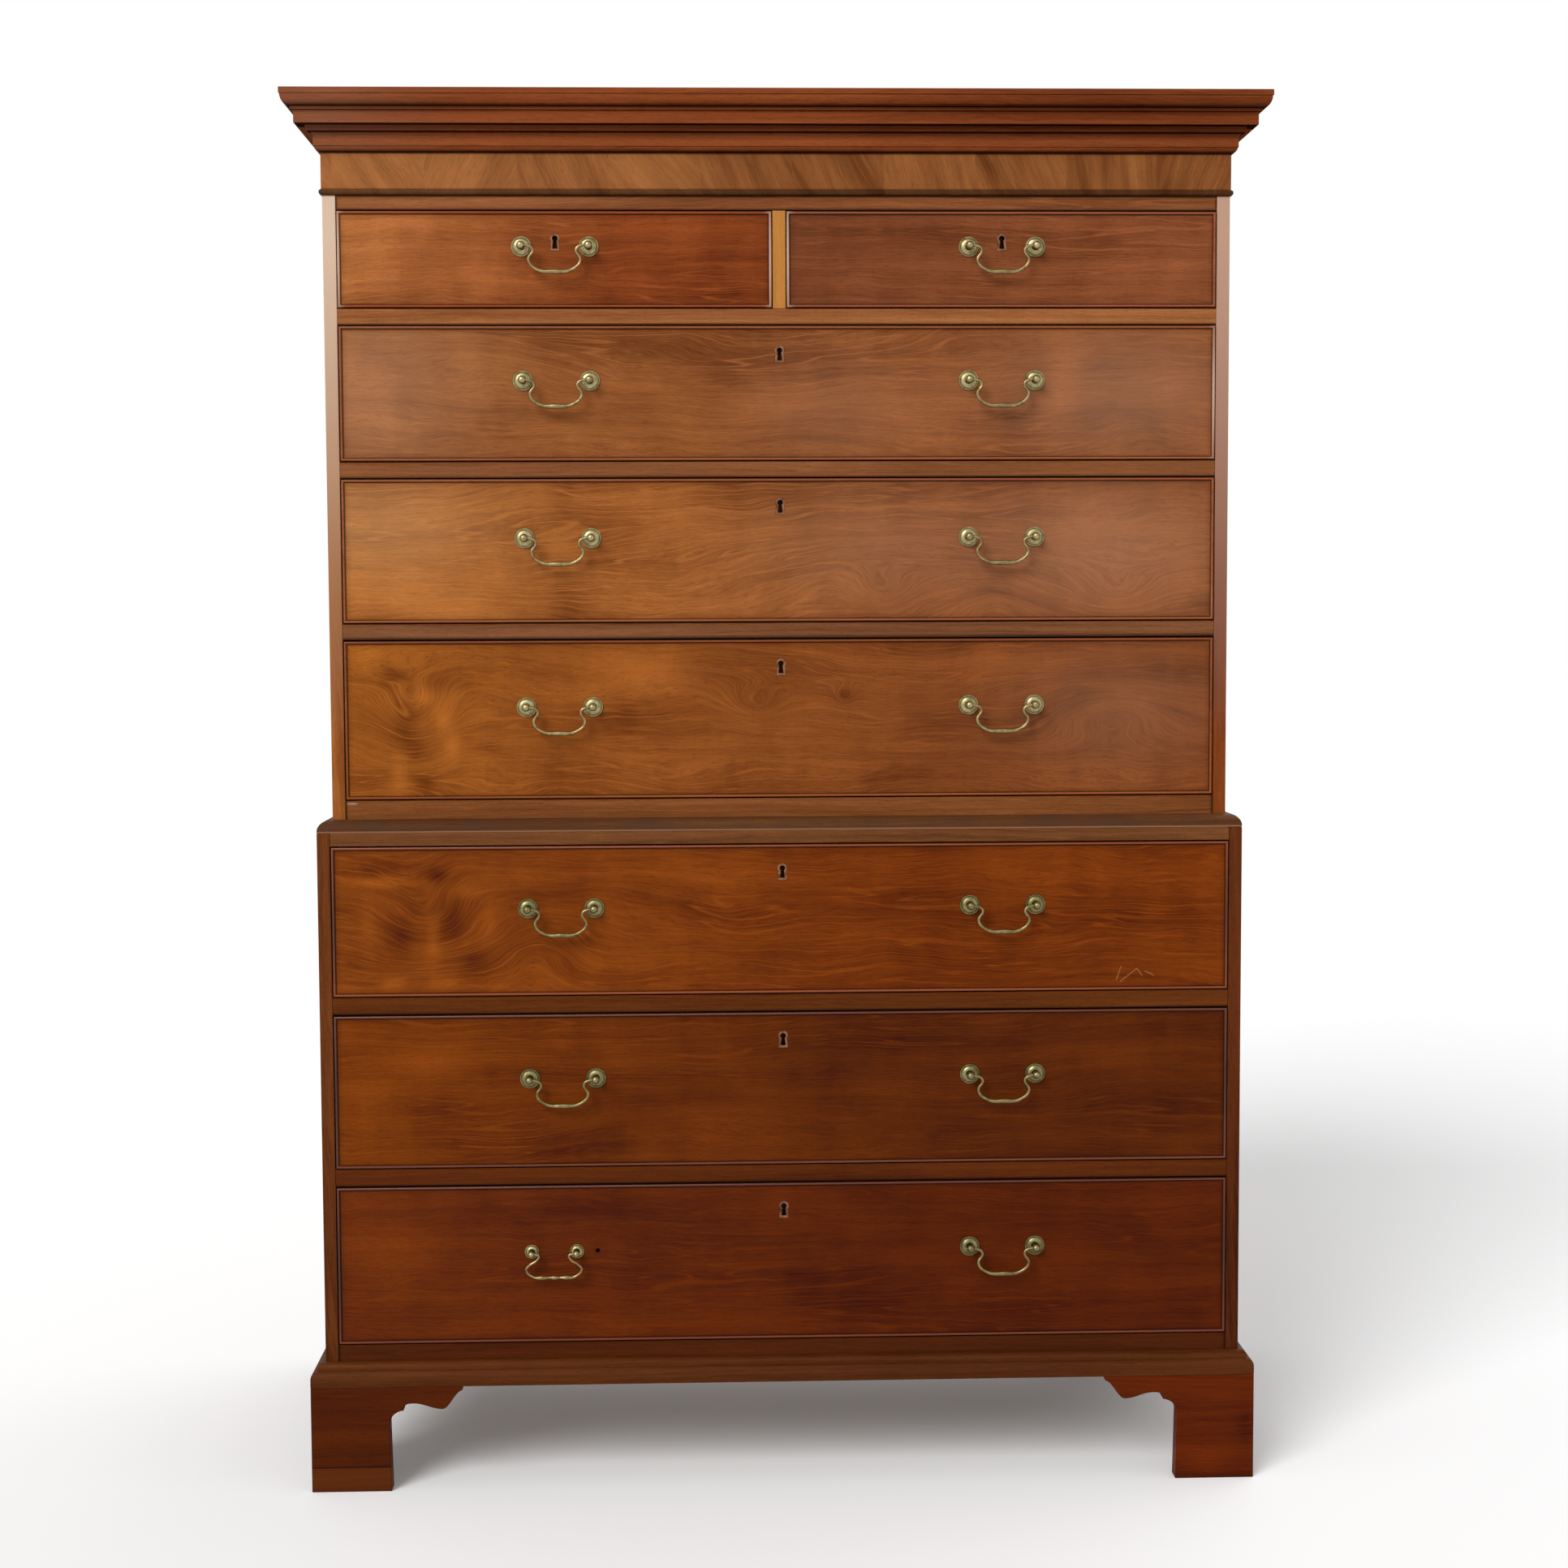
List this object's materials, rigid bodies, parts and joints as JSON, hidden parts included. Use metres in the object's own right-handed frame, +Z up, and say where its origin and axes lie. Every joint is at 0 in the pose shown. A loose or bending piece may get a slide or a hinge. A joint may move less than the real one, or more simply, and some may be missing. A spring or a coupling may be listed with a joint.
{
  "type": "chest on chest",
  "caption": "Mahogany chest-on-chest of drawers with a moulded cornice, cock-beaded drawers with brass swan-neck handles, and shaped bracket feet.",
  "frame": {"origin": "on the floor, in the middle of the overall box", "axes": "+Z up, the drawers' fronts face -Y, +X to the right seen from the front"},
  "size_m": [1.198, 0.566, 1.7198],
  "materials": {
    "light_mahogany": "faded mahogany, old wax polish",
    "dark_mahogany": "dark red-brown mahogany, old wax polish",
    "cornice_mahogany": "cross-grained mahogany, dull old polish",
    "drawer_oak": "bare oak, dry",
    "carcase_pine": "bare pine, darkened with age",
    "old_brass": "dull old brass, rubbed bright on the grips"
  },
  "bodies": {
    "carcase": {"front_foot_left": "dark_mahogany", "front_foot_right": "dark_mahogany", "rear_foot_left": "dark_mahogany", "rear_foot_right": "dark_mahogany", "base_moulding": "dark_mahogany", "lower_side_left": "dark_mahogany", "lower_side_right": "dark_mahogany", "lower_bottom_board": "dark_mahogany", "lower_backboard": "carcase_pine", "lower_top_board": "dark_mahogany", "lower_divider_under_row_5": "dark_mahogany", "lower_divider_under_row_6": "dark_mahogany", "upper_side_left": "light_mahogany", "upper_side_right": "light_mahogany", "upper_bottom_board": "light_mahogany", "upper_backboard": "carcase_pine", "upper_top_board": "light_mahogany", "upper_divider_under_row_1": "light_mahogany", "upper_divider_under_row_2": "light_mahogany", "upper_divider_under_row_3": "light_mahogany", "short_drawer_partition": "light_mahogany", "cornice": "cornice_mahogany"},
    "drawer_7": {"drawer_7_front": "dark_mahogany", "drawer_7_lining": "drawer_oak", "drawer_7_bottom": "drawer_oak"},
    "drawer_7_bail_left": {"drawer_7_bail_left": "old_brass"},
    "drawer_7_bail_right": {"drawer_7_bail_right": "old_brass"},
    "drawer_6": {"drawer_6_front": "dark_mahogany", "drawer_6_lining": "drawer_oak", "drawer_6_bottom": "drawer_oak"},
    "drawer_6_bail_left": {"drawer_6_bail_left": "old_brass"},
    "drawer_6_bail_right": {"drawer_6_bail_right": "old_brass"},
    "drawer_5": {"drawer_5_front": "dark_mahogany", "drawer_5_lining": "drawer_oak", "drawer_5_bottom": "drawer_oak"},
    "drawer_5_bail_left": {"drawer_5_bail_left": "old_brass"},
    "drawer_5_bail_right": {"drawer_5_bail_right": "old_brass"},
    "drawer_4": {"drawer_4_front": "light_mahogany", "drawer_4_lining": "drawer_oak", "drawer_4_bottom": "drawer_oak"},
    "drawer_4_bail_left": {"drawer_4_bail_left": "old_brass"},
    "drawer_4_bail_right": {"drawer_4_bail_right": "old_brass"},
    "drawer_3": {"drawer_3_front": "light_mahogany", "drawer_3_lining": "drawer_oak", "drawer_3_bottom": "drawer_oak"},
    "drawer_3_bail_left": {"drawer_3_bail_left": "old_brass"},
    "drawer_3_bail_right": {"drawer_3_bail_right": "old_brass"},
    "drawer_2": {"drawer_2_front": "light_mahogany", "drawer_2_lining": "drawer_oak", "drawer_2_bottom": "drawer_oak"},
    "drawer_2_bail_left": {"drawer_2_bail_left": "old_brass"},
    "drawer_2_bail_right": {"drawer_2_bail_right": "old_brass"},
    "drawer_1_left": {"drawer_1_left_front": "light_mahogany", "drawer_1_left_lining": "drawer_oak", "drawer_1_left_bottom": "drawer_oak"},
    "drawer_1_left_bail": {"drawer_1_left_bail": "old_brass"},
    "drawer_1_right": {"drawer_1_right_front": "light_mahogany", "drawer_1_right_lining": "drawer_oak", "drawer_1_right_bottom": "drawer_oak"},
    "drawer_1_right_bail": {"drawer_1_right_bail": "old_brass"}
  },
  "joints": [
    {"name": "drawer_7_slide", "type": "slide", "parent": "carcase", "child": "drawer_7", "axis": [0, -1, 0], "range_m": [0, 0.4]},
    {"name": "drawer_7_bail_left_swing", "type": "hinge", "parent": "drawer_7", "child": "drawer_7_bail_left", "pos_m": [-0.28675, -0.2725, 0.297], "axis": [-1, 0, 0], "range_deg": [-22, 202]},
    {"name": "drawer_7_bail_right_swing", "type": "hinge", "parent": "drawer_7", "child": "drawer_7_bail_right", "pos_m": [0.27375, -0.2725, 0.297], "axis": [-1, 0, 0], "range_deg": [-22, 202]},
    {"name": "drawer_6_slide", "type": "slide", "parent": "carcase", "child": "drawer_6", "axis": [0, -1, 0], "range_m": [0, 0.4]},
    {"name": "drawer_6_bail_left_swing", "type": "hinge", "parent": "drawer_6", "child": "drawer_6_bail_left", "pos_m": [-0.27375, -0.2725, 0.51525], "axis": [-1, 0, 0], "range_deg": [-22, 202]},
    {"name": "drawer_6_bail_right_swing", "type": "hinge", "parent": "drawer_6", "child": "drawer_6_bail_right", "pos_m": [0.27375, -0.2725, 0.51525], "axis": [-1, 0, 0], "range_deg": [-22, 202]},
    {"name": "drawer_5_slide", "type": "slide", "parent": "carcase", "child": "drawer_5", "axis": [0, -1, 0], "range_m": [0, 0.4]},
    {"name": "drawer_5_bail_left_swing", "type": "hinge", "parent": "drawer_5", "child": "drawer_5_bail_left", "pos_m": [-0.27375, -0.2725, 0.7275], "axis": [-1, 0, 0], "range_deg": [-22, 202]},
    {"name": "drawer_5_bail_right_swing", "type": "hinge", "parent": "drawer_5", "child": "drawer_5_bail_right", "pos_m": [0.27375, -0.2725, 0.7275], "axis": [-1, 0, 0], "range_deg": [-22, 202]},
    {"name": "drawer_4_slide", "type": "slide", "parent": "carcase", "child": "drawer_4", "axis": [0, -1, 0], "range_m": [0, 0.4]},
    {"name": "drawer_4_bail_left_swing", "type": "hinge", "parent": "drawer_4", "child": "drawer_4_bail_left", "pos_m": [-0.27375, -0.255, 0.9755], "axis": [-1, 0, 0], "range_deg": [-22, 202]},
    {"name": "drawer_4_bail_right_swing", "type": "hinge", "parent": "drawer_4", "child": "drawer_4_bail_right", "pos_m": [0.27375, -0.255, 0.9755], "axis": [-1, 0, 0], "range_deg": [-22, 202]},
    {"name": "drawer_3_slide", "type": "slide", "parent": "carcase", "child": "drawer_3", "axis": [0, -1, 0], "range_m": [0, 0.4]},
    {"name": "drawer_3_bail_left_swing", "type": "hinge", "parent": "drawer_3", "child": "drawer_3_bail_left", "pos_m": [-0.27375, -0.255, 1.18325], "axis": [-1, 0, 0], "range_deg": [-22, 202]},
    {"name": "drawer_3_bail_right_swing", "type": "hinge", "parent": "drawer_3", "child": "drawer_3_bail_right", "pos_m": [0.27375, -0.255, 1.18325], "axis": [-1, 0, 0], "range_deg": [-22, 202]},
    {"name": "drawer_2_slide", "type": "slide", "parent": "carcase", "child": "drawer_2", "axis": [0, -1, 0], "range_m": [0, 0.4]},
    {"name": "drawer_2_bail_left_swing", "type": "hinge", "parent": "drawer_2", "child": "drawer_2_bail_left", "pos_m": [-0.27375, -0.255, 1.37525], "axis": [-1, 0, 0], "range_deg": [-22, 202]},
    {"name": "drawer_2_bail_right_swing", "type": "hinge", "parent": "drawer_2", "child": "drawer_2_bail_right", "pos_m": [0.27375, -0.255, 1.37525], "axis": [-1, 0, 0], "range_deg": [-22, 202]},
    {"name": "drawer_1_left_slide", "type": "slide", "parent": "carcase", "child": "drawer_1_left", "axis": [0, -1, 0], "range_m": [0, 0.4]},
    {"name": "drawer_1_left_bail_swing", "type": "hinge", "parent": "drawer_1_left", "child": "drawer_1_left_bail", "pos_m": [-0.27375, -0.255, 1.5375], "axis": [-1, 0, 0], "range_deg": [-22, 202]},
    {"name": "drawer_1_right_slide", "type": "slide", "parent": "carcase", "child": "drawer_1_right", "axis": [0, -1, 0], "range_m": [0, 0.4]},
    {"name": "drawer_1_right_bail_swing", "type": "hinge", "parent": "drawer_1_right", "child": "drawer_1_right_bail", "pos_m": [0.27375, -0.255, 1.5375], "axis": [-1, 0, 0], "range_deg": [-22, 202]}
  ]
}
